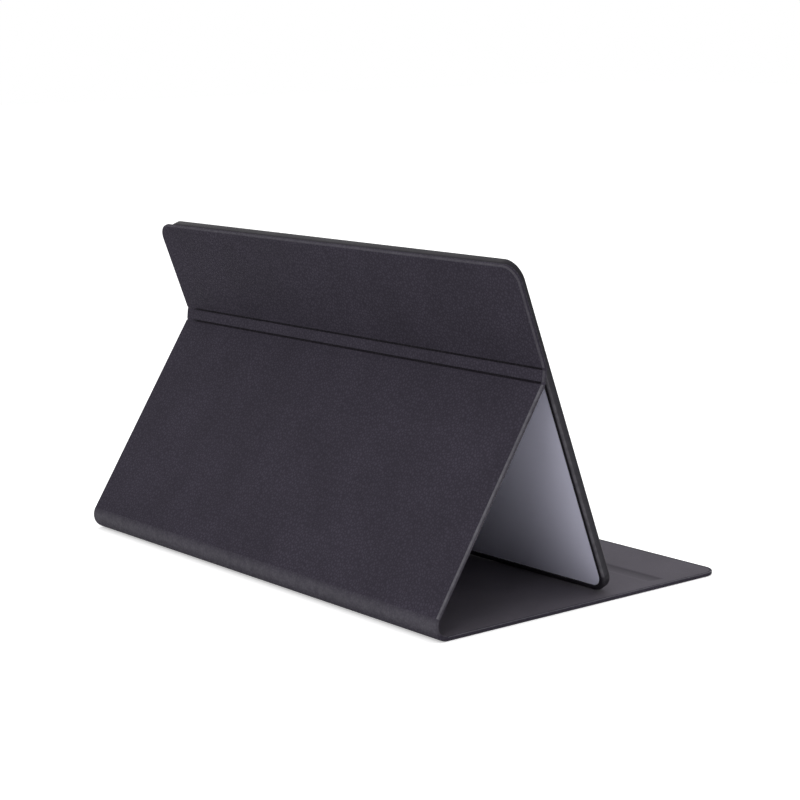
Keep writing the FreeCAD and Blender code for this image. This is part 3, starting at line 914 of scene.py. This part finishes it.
class FOLIO_OT_rear_roll(bpy.types.Operator):
    """Soft roll of leather behind the base, in two halves that meet in the middle"""
    bl_idname = "folio.rear_roll"
    bl_label = "Rear roll"

    def execute(self, context):
        cover = context.scene.folio_cover
        rest_mode()
        bpy.ops.mesh.primitive_plane_add(size=1, location=ROLL_START, rotation=(math.pi / 2, 0, 0))
        context.object.scale = (2 * HALF_COVER, 2 * HALF_PANEL, 1)
        lower = begin("leather_roll_lower")
        for level, radius, rows in ((-1, cover.outer_edge, OUTER_ROWS), (1, cover.inner_edge, INNER_ROWS)):
            pick("VERT", lambda corner: near(abs(corner.co.x), HALF_COVER)
                 and near(corner.co.z, REAR.z + level * HALF_PANEL))
            bevel(radius, rows, affect="VERTICES")
        pick_all("FACE")
        bpy.ops.mesh.spin(steps=ROLL_ROWS, angle=SPINE_TURN, center=ROLL_CENTRE, axis=(-1, 0, 0))
        settle(lower, (0, 0, 0), (0, 0, 0))
        rest_mode()
        lower.select_set(True)
        bpy.ops.object.duplicate(linked=False)
        upper = context.object
        upper.name = upper.data.name = "leather_roll_upper"
        bpy.ops.transform.rotate(value=-SPINE_TURN, orient_axis="X", center_override=ROLL_CENTRE)
        bpy.ops.object.transform_apply(location=True, rotation=True, scale=True)
        inner = ROLL_RADIUS - HALF_PANEL
        for roll in (lower, upper):
            # Paint the highlight band along the roll.
            self.paint_roll_highlight(roll, cover)
            dress(roll, "leather", "cover_skin")
            line_inside(roll, "lining", lambda face: all(
                (roll.data.vertices[i].co - ROLL_CENTRE).yz.length < inner + SKIM for i in face.vertices))
        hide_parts("spine_skin")
        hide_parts("spine_lining")
        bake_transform(lower)
        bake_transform(upper)
        return {"FINISHED"}

    def paint_roll_highlight(self, roll, cover):
        """Paint a highlight band along the roll, lightest at one place round it and fading out both ways.
        """

        def rubbed(place):
            off = place - ROLL_CENTRE
            away = (math.atan2(off.y, -off.z) - cover.roll_highlight_place) / cover.roll_highlight_reach
            return cover.roll_highlight * math.cos(min(abs(away), 1) * math.pi / 2) ** 2

        write_marks(roll, rubbed)


def round_sides(cover, low, high):
    """Round the side edges of a block as the panels' turned edges are."""
    for level, radius, rows in ((low, cover.outer_edge, OUTER_ROWS), (high, cover.inner_edge, INNER_ROWS)):
        pick("EDGE", lambda edge: edges_at(2, level)(edge) and near(edge.verts[0].co.x, edge.verts[1].co.x))
        bevel(radius, rows)


class FOLIO_OT_crease_band(bpy.types.Operator):
    """Narrow band between the two pressed creases"""
    bl_idname = "folio.crease_band"
    bl_label = "Crease band"

    def execute(self, context):
        cover = context.scene.folio_cover
        low, high = cover.crease_half, BAND_WIDTH - cover.crease_half
        panel = panel_of("band", "crease_band", LOWER, BAND_TURN, low, PRESSED, high, PRESSED,
                         cover.band_rub_and_highlight)
        band = block("leather_band", (-HALF_COVER, low, -HALF_PANEL), (HALF_COVER, high, HALF_PANEL))
        round_sides(cover, -HALF_PANEL, HALF_PANEL)
        press_ends(cover, panel.ends)
        # Mark the band's turned edges for a painted highlight with some worn look.
        mark_surface(band, edge_wear_and_highlight(cover, panel))
        seat(band, panel, "leather", "cover_skin", "crease_band_skin", "crease_band_lining")
        up = Matrix.Rotation(BAND_TURN, 3, "X") @ Vector((0, 0, 1))
        line_inside(band, "lining", lambda face: face.normal.dot(up) > STRAIGHT)
        return {"FINISHED"}


class FOLIO_OT_crease_floors(bpy.types.Operator):
    """Soft leather and lining under the two pressed creases"""
    bl_idname = "folio.crease_floors"
    bl_label = "Crease floors"

    def execute(self, context):
        cover = context.scene.folio_cover
        self.floor("leather_crease_lower", cover, LOWER, STAND_TURN, BAND_TURN, "stand", "crease_band")
        self.floor("leather_crease_upper", cover, UPPER, BAND_TURN, BOARD_TURN, "crease_band", "board")
        return {"FINISHED"}

    def floor(self, name, cover, axis, turn_below, turn_above, below, above):
        """Soft block across a crease, pressed in and bent row by row."""
        steps, span, shy = cover.crease_steps, 2 * cover.crease_half, cover.crease_shy
        side, low, high = HALF_COVER - shy, shy - HALF_PANEL, HALF_PANEL - shy
        piece = block(name, (-side, -cover.crease_reach, low), (side, cover.crease_reach, high))
        round_sides(cover, low, high)
        deep, shallow = [(cover.crease_near * part - side, side - cover.crease_far * part)
                         for part in (1, 0.5)]
        for place in (*deep, *shallow):
            cut(0, place)
        for step in range(steps + 1):
            cut(1, span * (step / steps - 0.5))
        half_press = (cover.crease_depth - shy) / 2
        for (left, right), level in ((shallow, low), (deep, low + half_press)):
            pick("VERT", lambda corner: near(corner.co.z, level)
                 and left - CLOSE < corner.co.x < right + CLOSE)
            bpy.ops.transform.translate(value=(0, 0, half_press))
        for step in range(steps, 0, -1):
            line = span * ((step - 0.5) / steps - 0.5)
            pick("VERT", lambda corner: corner.co.y > line)
            bpy.ops.transform.rotate(value=(turn_below - turn_above) / steps, orient_axis="X",
                                     center_override=(0, 0, 0))
        left, right = shallow
        # Towards the ends of the crease, the floor goes back to plain leather colour, so its painted shade
        # fades out.
        mark_surface(piece, lambda place: 0.0 if left + CLOSE < place.x < right - CLOSE else 1.0)
        settle(piece, axis, (turn_below, 0, 0))
        # Pressed leather, darker by painted shade in the crease.
        dress(piece, "pressed", "cover_skin")
        inward = Matrix.Rotation((turn_below + turn_above) / 2, 3, "X") @ Vector((0, 0, 1))
        line_inside(piece, "lining", lambda face: face.normal.dot(inward) > ROUGHLY)
        start = axis - Matrix.Rotation(turn_below, 3, "X") @ Vector((0, cover.crease_half, 0))
        end = axis + Matrix.Rotation(turn_above, 3, "X") @ Vector((0, cover.crease_half, 0))
        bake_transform(piece)


# The board


class FOLIO_OT_board_rim(bpy.types.Operator):
    """Moulded rim that holds the sheets of the board"""
    bl_idname = "folio.board_rim"
    bl_label = "Board rim"

    def execute(self, context):
        board = context.scene.folio_board
        rim = block("moulded_rim", RIM_LOW, RIM_HIGH)
        back, front = RIM_LOW.z, RIM_HIGH.z
        middle = (RIM_LOW + RIM_HIGH) / 2
        pick("EDGE", upright)
        bevel(board.corner_radius, RIM_CORNER_ROWS)
        for level in (back, front):
            round_level(level, board.rim_edge, OUTER_ROWS)
        inset_level(back, board.lip_width - board.rim_edge)
        draw_out((0, 0, board.lip_depth))
        inset_level(front, board.bezel_width - board.rim_edge)
        draw_out((0, 0, -board.bezel_depth))
        draw_out((0, 0, 0))
        half = (RIM_HIGH - RIM_LOW) / 2
        bpy.ops.transform.resize(
            value=tuple((size - board.rim_wall) / (size - board.bezel_width) for size in half.xy) + (1,),
            center_override=middle)
        deep = front - back - board.bezel_depth - board.lip_depth
        draw_out((0, 0, -deep))
        bpy.ops.mesh.delete(type="ONLY_FACE")
        pick("FACE", flat_face(2, back + board.lip_depth))
        bpy.ops.mesh.delete(type="ONLY_FACE")
        pick("EDGE", lambda edge: len(edge.link_faces) < 2)
        bpy.ops.mesh.bridge_edge_loops()
        for level, width in ((back, board.lip_width), (front, board.bezel_width)):
            pick("EDGE", edges_at(2, level, lambda place: self.inside(place, middle, half, width)))
            bevel(board.lip_edge, FINE_ROWS)
        ends = half.y - board.corner_radius

        # Painted highlight on the rim's back edge, strongest along the sides.
        def rubbed(place):
            beside = abs(place.y - middle.y) < ends + CLOSE
            if near(place.z, back + board.rim_edge):
                return board.rim_highlight_wall if beside else 0.0
            if back + CLOSE < place.z < back + board.rim_edge:
                return board.rim_highlight_sides if beside else board.rim_highlight_ends
            return 0.0

        mark_surface(rim, rubbed)
        settle(rim, UPPER, (BOARD_TURN, 0, 0))
        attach(dress(rim, "rim", "rim_plastic", "board_rim"), "board")
        return {"FINISHED"}

    def inside(self, place, middle, half, width):
        """True on the rim's inner edge."""
        off = place - middle
        return abs(off.x) < half.x - width + CLOSE and abs(off.y) < half.y - width + CLOSE


class FOLIO_OT_sheets(bpy.types.Operator):
    """Finishes of the flat sheets and hidden layers, which keep their solid shapes"""
    bl_idname = "folio.sheets"
    bl_label = "Sheets and layers"

    layers = {
        "writing_sheet": "writing", "board_back_sheet": "back", "board_core": "core",
        "steel_sheet": "steel", "strip_tape": "tape", "base_stiffener": "stock",
        "stand_stiffener": "stock", "strip_stiffener": "stock", "base_foot_magnets": "magnet",
        "marker_ink_reservoir": "ink", "eraser_magnet": "magnet",
    }

    def execute(self, context):
        for name, finish in self.layers.items():
            coat(frame["nodes"][name], finish)
        return {"FINISHED"}


# Marker and eraser

# Turned forms of the marker: pairs of a step along it and a share of the radius
TAIL_DOME = ((0.0, 0.30), (0.0002, 0.52), (0.0007, 0.70), (0.0016, 0.81), (0.0028, 0.87))
TAIL_NECK = ((-0.0014, 0.95), (-0.0011, 0.91), (-0.0006, 0.91), (-0.0003, 0.97), (0.0, 1.0))
COLLAR_CONE = ((-0.0004, 1.0), (0.0003, 0.985))
COLLAR_TIP = ((-0.0003, 0.73), (0.0, 0.69))
NIB_DOME = ((-0.0034, 1.0), (-0.0022, 0.93), (-0.0012, 0.79), (-0.0005, 0.58), (-0.0001, 0.32),
            (0.0, 0.12))
FELT_ROOT = ((0.0006, 1.0), (0.0024, 1.02))
FELT_DOME = ((-0.0014, 1.01), (-0.0006, 0.975), (-0.0001, 0.90), (0.0, 0.78))

# Turned forms with fixed cuts: pairs of a step along the marker and a cut below the radius
TUBE_BACK = ((0.0, 0.0005), (0.0002, 0.0002), (0.0007, 0.0))
TUBE_FRONT = ((-0.0024, 0.0), (-0.0021, 0.00016), (-0.0017, 0.00016), (-0.0014, 0.0), (-0.0004, 0.0),
              (-0.0001, 0.0002), (0.0, 0.0005))
COLLAR_BACK = ((0.0, 0.0003), (0.0003, 0.0), (0.0040, 0.0), (0.0043, 0.0002), (0.0049, 0.0002),
               (0.0052, 0.0))
CAP_BORE = ((0.0003, 0.0), (0.0, -0.0002))
CAP_MOUTH = ((0.0, 0.0004), (0.0001, 0.00015), (0.0004, 0.0), (0.0026, 0.0), (0.0028, 0.00014),
             (0.0032, 0.00014), (0.0034, 0.0))
CUP_MOUTH = ((-0.0003, 0.0), (0.0, -0.0003))
SLEEVE_FRONT = ((0.0, 0.0007), (-0.0002, 0.0003), (-0.0007, 0.0))
SLEEVE_BACK = ((0.0009, 0.0), (0.0004, 0.0002), (0.0001, 0.0006), (0.0, 0.0010))

FIT = 0.0001                # room between a bore and what goes into it, in metres
CONE_SHARE = 0.35           # of the collar that is cone
CAP_WALL = 0.00095          # wall of the cap, in metres
CAP_STEM_CUT = 0.00035      # how much narrower the cap is inside the sleeve, in metres
CAP_ROOF = 0.0015           # closed end of the cap, in metres
DIMPLE_STEEP = 0.6          # share of the dimple's depth that its steep wall takes


def shares(start, radius, form):
    """Places and radii of a turned form that goes by shares of a radius."""
    return [(start + step, radius * part) for step, part in form]


def cuts(start, radius, form):
    """Places and radii of a turned form that goes by cuts below a radius."""
    return [(start + step, radius - deep) for step, deep in form]


def turned(name, sides, profile, bored=False):
    """Round piece along X, a disc that is drawn out and widened from place to place."""
    rest_mode()
    place, radius = profile[0]
    bpy.ops.mesh.primitive_circle_add(vertices=sides, radius=radius, fill_type="NGON",
                                      location=(place, 0, 0), rotation=(0, math.pi / 2, 0))
    piece = begin(name)
    pick_all("FACE")
    for (last, width), (place, radius) in zip(profile, profile[1:]):
        draw_out((place - last, 0, 0))
        if radius != width:
            wider = radius / width
            bpy.ops.transform.resize(value=(1, wider, wider), center_override=(place, 0, 0))
    if bored:
        bpy.ops.mesh.delete(type="ONLY_FACE")
        pick("FACE", lambda face: len(face.verts) == sides)
        bpy.ops.mesh.delete(type="ONLY_FACE")
        pick("EDGE", lambda edge: len(edge.link_faces) == 1)
        bpy.ops.mesh.bridge_edge_loops()
    return piece


def along(node):
    """Places of a node's two ends and its radius, along the marker from its tail."""
    low, high = spread(node, MARKER_TAIL, "Y", MARKER_TURN)
    return low.x, high.x, (high.y - low.y) / 2


def turned_piece(name, sides, profile, finish, slot, node, body, bored=False):
    """Round piece of the marker, dressed and on its body."""
    piece = turned(name, sides, profile, bored)
    settle(piece, MARKER_TAIL, (0, MARKER_TURN, 0), smooth=32)
    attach(dress(piece, finish, slot, node), body)


class FOLIO_OT_marker(bpy.types.Operator):
    """Tail, barrel, collar and nib of the marker"""
    bl_idname = "folio.marker"
    bl_label = "Marker"

    def execute(self, context):
        marker = context.scene.folio_marker
        tail, inner, spigot = along("marker_end_plug")
        start, end, radius = along("marker_barrel")
        inside, tip, wide = along("marker_collar")
        nib_start, nib_end, nib_radius = along("marker_nib")
        turned_piece("marker_tail", marker.sides, [
            *shares(tail, spigot, TAIL_DOME), *shares(start, spigot, TAIL_NECK), (inner, spigot),
        ], "black", "marker_black", "marker_end_plug", "marker")
        bore = spigot + FIT
        turned_piece("marker_tube", marker.sides, [
            (start, bore), *cuts(start, radius, TUBE_BACK), *cuts(end, radius, TUBE_FRONT), (end, bore),
        ], "white", "marker_white", "marker_barrel", "marker", bored=True)
        cone = tip - (tip - end) * CONE_SHARE
        hole = nib_radius + FIT
        turned_piece("marker_front", marker.sides, [
            (inside, hole), (inside, spigot), (end, spigot), *cuts(end, wide, COLLAR_BACK),
            *shares(cone, wide, COLLAR_CONE), *shares(tip, wide, COLLAR_TIP), (tip, hole),
        ], "grey", "marker_grey", "marker_collar", "marker", bored=True)
        turned_piece("marker_tip", marker.sides // 2, [
            (nib_start, nib_radius), *shares(nib_end, nib_radius, NIB_DOME),
        ], "felt", "felt_black", "marker_nib", "marker")
        return {"FINISHED"}


class FOLIO_OT_marker_cap(bpy.types.Operator):
    """Cap, sleeve and felt end of the marker"""
    bl_idname = "folio.marker_cap"
    bl_label = "Marker cap"

    def execute(self, context):
        marker = context.scene.folio_marker
        rim, stem_end, radius = along("marker_cap")
        step, sleeve_end, wide = along("cap_sleeve")
        felt_start, felt_end, felt_radius = along("cap_felt")
        bore, stem = radius - CAP_WALL, radius - CAP_STEM_CUT
        turned_piece("marker_cap_shell", marker.sides, [
            (stem_end - CAP_ROOF, bore), *cuts(rim, bore, CAP_BORE), *cuts(rim, radius, CAP_MOUTH),
            (step, radius), (step, stem), (stem_end, stem),
        ], "black", "marker_black", "marker_cap", "cap")
        cup, hole = felt_radius + FIT, stem + FIT
        turned_piece("marker_cap_sleeve", marker.sides, [
            (felt_start, cup), *cuts(sleeve_end, cup, CUP_MOUTH), *cuts(sleeve_end, wide, SLEEVE_FRONT),
            *cuts(step, wide, SLEEVE_BACK), (step, hole), (felt_start, hole),
        ], "black", "marker_black", "cap_sleeve", "cap", bored=True)
        turned_piece("marker_cap_felt", marker.sides, [
            (felt_start, felt_radius), *shares(sleeve_end, felt_radius, FELT_ROOT),
            *shares(felt_end, felt_radius, FELT_DOME),
        ], "felt", "felt_black", "cap_felt", "cap")
        return {"FINISHED"}


class FOLIO_OT_eraser(bpy.types.Operator):
    """Shell and felt pad of the eraser"""
    bl_idname = "folio.eraser"
    bl_label = "Eraser"

    def execute(self, context):
        eraser = context.scene.folio_eraser
        low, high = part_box("eraser_shell")
        middle = (low + high) / 2
        shell = self.pill("eraser_body", low, high)
        round_level(high.z, eraser.top_edge, TOP_ROWS)
        round_level(low.z, eraser.bottom_edge, FINE_ROWS)
        half = eraser.dimple / 2
        near_wall, far_wall = half + eraser.groove * 2, half + eraser.groove * 3
        cut_pairs(0, middle.x, half, near_wall, far_wall)
        for side in (-1, 1):
            inner, outer = sorted((side * near_wall, side * far_wall))
            pick("FACE", lambda face: flat_face(2, high.z)(face)
                 and inner < face.calc_center_median().x - middle.x < outer)
            draw_out((0, 0, -eraser.groove_depth))
        pick("FACE", lambda face: flat_face(2, high.z)(face)
             and abs(face.calc_center_median().x - middle.x) < half)
        inset(eraser.dimple_margin)
        inset(eraser.dimple_wall)
        bpy.ops.transform.translate(value=(0, 0, -eraser.dimple_depth * DIMPLE_STEEP))
        inset(eraser.dimple_slope)
        bpy.ops.transform.translate(value=(0, 0, -eraser.dimple_depth * (1 - DIMPLE_STEEP)))
        settle(shell, (0, 0, 0), (0, 0, 0), smooth=35)
        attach(dress(shell, "shell", "eraser_grey", "eraser_shell"), "eraser")
        low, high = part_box("eraser_felt")
        pad = self.pill("eraser_pad_felt", low, high)
        round_level(low.z, eraser.pad_bottom, INNER_ROWS)
        round_level(high.z, eraser.pad_top, INNER_ROWS)
        settle(pad, (0, 0, 0), (0, 0, 0), smooth=50)
        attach(dress(pad, "pad", "eraser_pad", "eraser_felt"), "eraser")
        return {"FINISHED"}

    def pill(self, name, low, high):
        """Upright block with half-round ends."""
        piece = block(name, low, high)
        pick("EDGE", upright)
        bevel((high.y - low.y - SKIM) / 2, PILL_ROWS)
        return piece


# Stage


def seen_ray(drawing):
    """1 for rays that show the background, to the camera, in a gloss or through glass."""
    path = drawing.add("ShaderNodeLightPath").outputs
    seen = drawing.math("MAXIMUM", path["Is Camera Ray"], path["Is Glossy Ray"])
    return drawing.math("MAXIMUM", seen, path["Is Transmission Ray"])


class FOLIO_OT_stage(bpy.types.Operator):
    """Floor, sky, lamps and camera"""
    bl_idname = "folio.stage"
    bl_label = "Stage"

    def execute(self, context):
        scene, stage = context.scene, context.scene.folio_stage
        scene.view_settings.view_transform = "Standard"
        rest_mode()
        bpy.ops.mesh.primitive_plane_add(size=stage.floor_size, location=(0, 0, -stage.floor_drop))
        floor = context.object
        floor.name = "studio_floor"
        floor.data.materials.append(self.floor_finish(stage))
        self.light_sky(scene, stage.horizon, stage.sky)
        self.lamp("soft_key", stage.key, stage.key_place, stage)
        self.lamp("soft_front", stage.front, stage.front_place, stage)
        self.aim_camera(scene, stage)
        return {"FINISHED"}

    def floor_finish(self, stage):
        made = bpy.data.materials.new("pale floor")
        made.use_nodes = True
        d = Drawing(made.node_tree)
        grain = d.noise(d.add("ShaderNodeTexCoord").outputs["Object"], 60.0, detail=3.0)
        paper = d.tones(grain, stage.floor, first=0.99, second=1.01)
        matt = d.add("ShaderNodeBsdfDiffuse", {"Color": paper})
        shown = d.math("MULTIPLY", seen_ray(d), stage.glow)
        glow = d.add("ShaderNodeEmission", {"Color": (1, 1, 1, 1), "Strength": shown})
        both = d.add("ShaderNodeAddShader", {0: matt.outputs[0], 1: glow.outputs[0]})
        d.add("ShaderNodeOutputMaterial", {0: both.outputs[0]})
        return made

    def light_sky(self, scene, low, high):
        scene.world = bpy.data.worlds.new("studio sky")
        scene.world.use_nodes = True
        d = Drawing(scene.world.node_tree)
        towards = d.add("ShaderNodeTexCoord").outputs["Generated"]
        height = d.add("ShaderNodeSeparateXYZ", {0: towards}).outputs["Z"]
        rising = d.math("ADD", d.math("MULTIPLY", d.math("MAXIMUM", height, 0.0), high - low), low)
        level = d.ramp(seen_ray(d), low=0.0, high=1.0, to_low=rising)
        light = d.add("ShaderNodeBackground", {"Color": (1, 1, 1, 1), "Strength": level})
        d.add("ShaderNodeOutputWorld", {0: light.outputs[0]})

    def lamp(self, name, power, place, stage):
        rest_mode()
        bpy.ops.object.light_add(type="AREA", location=place)
        lamp = bpy.context.object
        lamp.name = lamp.data.name = name
        lamp.data.energy = power
        lamp.data.size = stage.lamp_size
        lamp.rotation_mode = "QUATERNION"
        lamp.rotation_quaternion = (Vector(stage.lamp_aim) - Vector(place)).to_track_quat("-Z", "Y")

    def aim_camera(self, scene, stage):
        around, above = stage.azimuth, stage.elevation
        flat = math.cos(above)
        back = Vector((math.sin(around) * flat, -math.cos(around) * flat, math.sin(above)))
        level = Vector((0, 0, 1)).cross(back).normalized()
        rise = back.cross(level)
        right = level * math.cos(stage.roll) + rise * math.sin(stage.roll)
        up = rise * math.cos(stage.roll) - level * math.sin(stage.roll)
        aim = Vector(stage.middle) + right * stage.aim_right + up * stage.aim_up
        rest_mode()
        bpy.ops.object.camera_add()
        camera = bpy.context.object
        camera.name = camera.data.name = "photo_camera"
        camera.data.lens = stage.lens
        camera.data.sensor_width = SENSOR_WIDTH
        camera.data.clip_start, camera.data.clip_end = CLIP_RANGE
        turn = Matrix((right, up, back)).transposed().to_4x4()
        camera.matrix_world = Matrix.Translation(aim + back * stage.distance) @ turn
        scene.camera = camera


OPERATORS = (
    FOLIO_OT_cover_panels, FOLIO_OT_linings, FOLIO_OT_rear_roll, FOLIO_OT_crease_band,
    FOLIO_OT_crease_floors, FOLIO_OT_board_rim, FOLIO_OT_sheets, FOLIO_OT_marker,
    FOLIO_OT_marker_cap, FOLIO_OT_eraser, FOLIO_OT_stage,
)


SETTINGS = {
    "folio_cover": CoverSettings, "folio_board": BoardSettings, "folio_marker": MarkerSettings,
    "folio_eraser": EraserSettings, "folio_stage": StageSettings,
}


class FOLIO_PT_build(bpy.types.Panel):
    """Steps that dress the whiteboard, and their settings"""
    bl_idname = "FOLIO_PT_build"
    bl_label = "Whiteboard"
    bl_space_type = "VIEW_3D"
    bl_region_type = "UI"
    bl_category = "Whiteboard"

    def draw(self, context):
        for operator in OPERATORS:
            self.layout.operator(operator.bl_idname)
        for name, kind in SETTINGS.items():
            box = self.layout.box()
            box.label(text=kind.__doc__)
            for key in kind.__annotations__:
                box.prop(getattr(context.scene, name), key)


def register():
    for kind in (*SETTINGS.values(), *OPERATORS, FOLIO_PT_build):
        bpy.utils.register_class(kind)
    for name, kind in SETTINGS.items():
        setattr(bpy.types.Scene, name, PointerProperty(type=kind))


def unregister():
    for name in SETTINGS:
        delattr(bpy.types.Scene, name)
    for kind in (FOLIO_PT_build, *reversed(OPERATORS), *SETTINGS.values()):
        bpy.utils.unregister_class(kind)


def main():
    register()
    for operator in OPERATORS:
        group, name = operator.bl_idname.split(".")
        getattr(getattr(bpy.ops, group), name)()


if __name__ == "__main__":
    main()
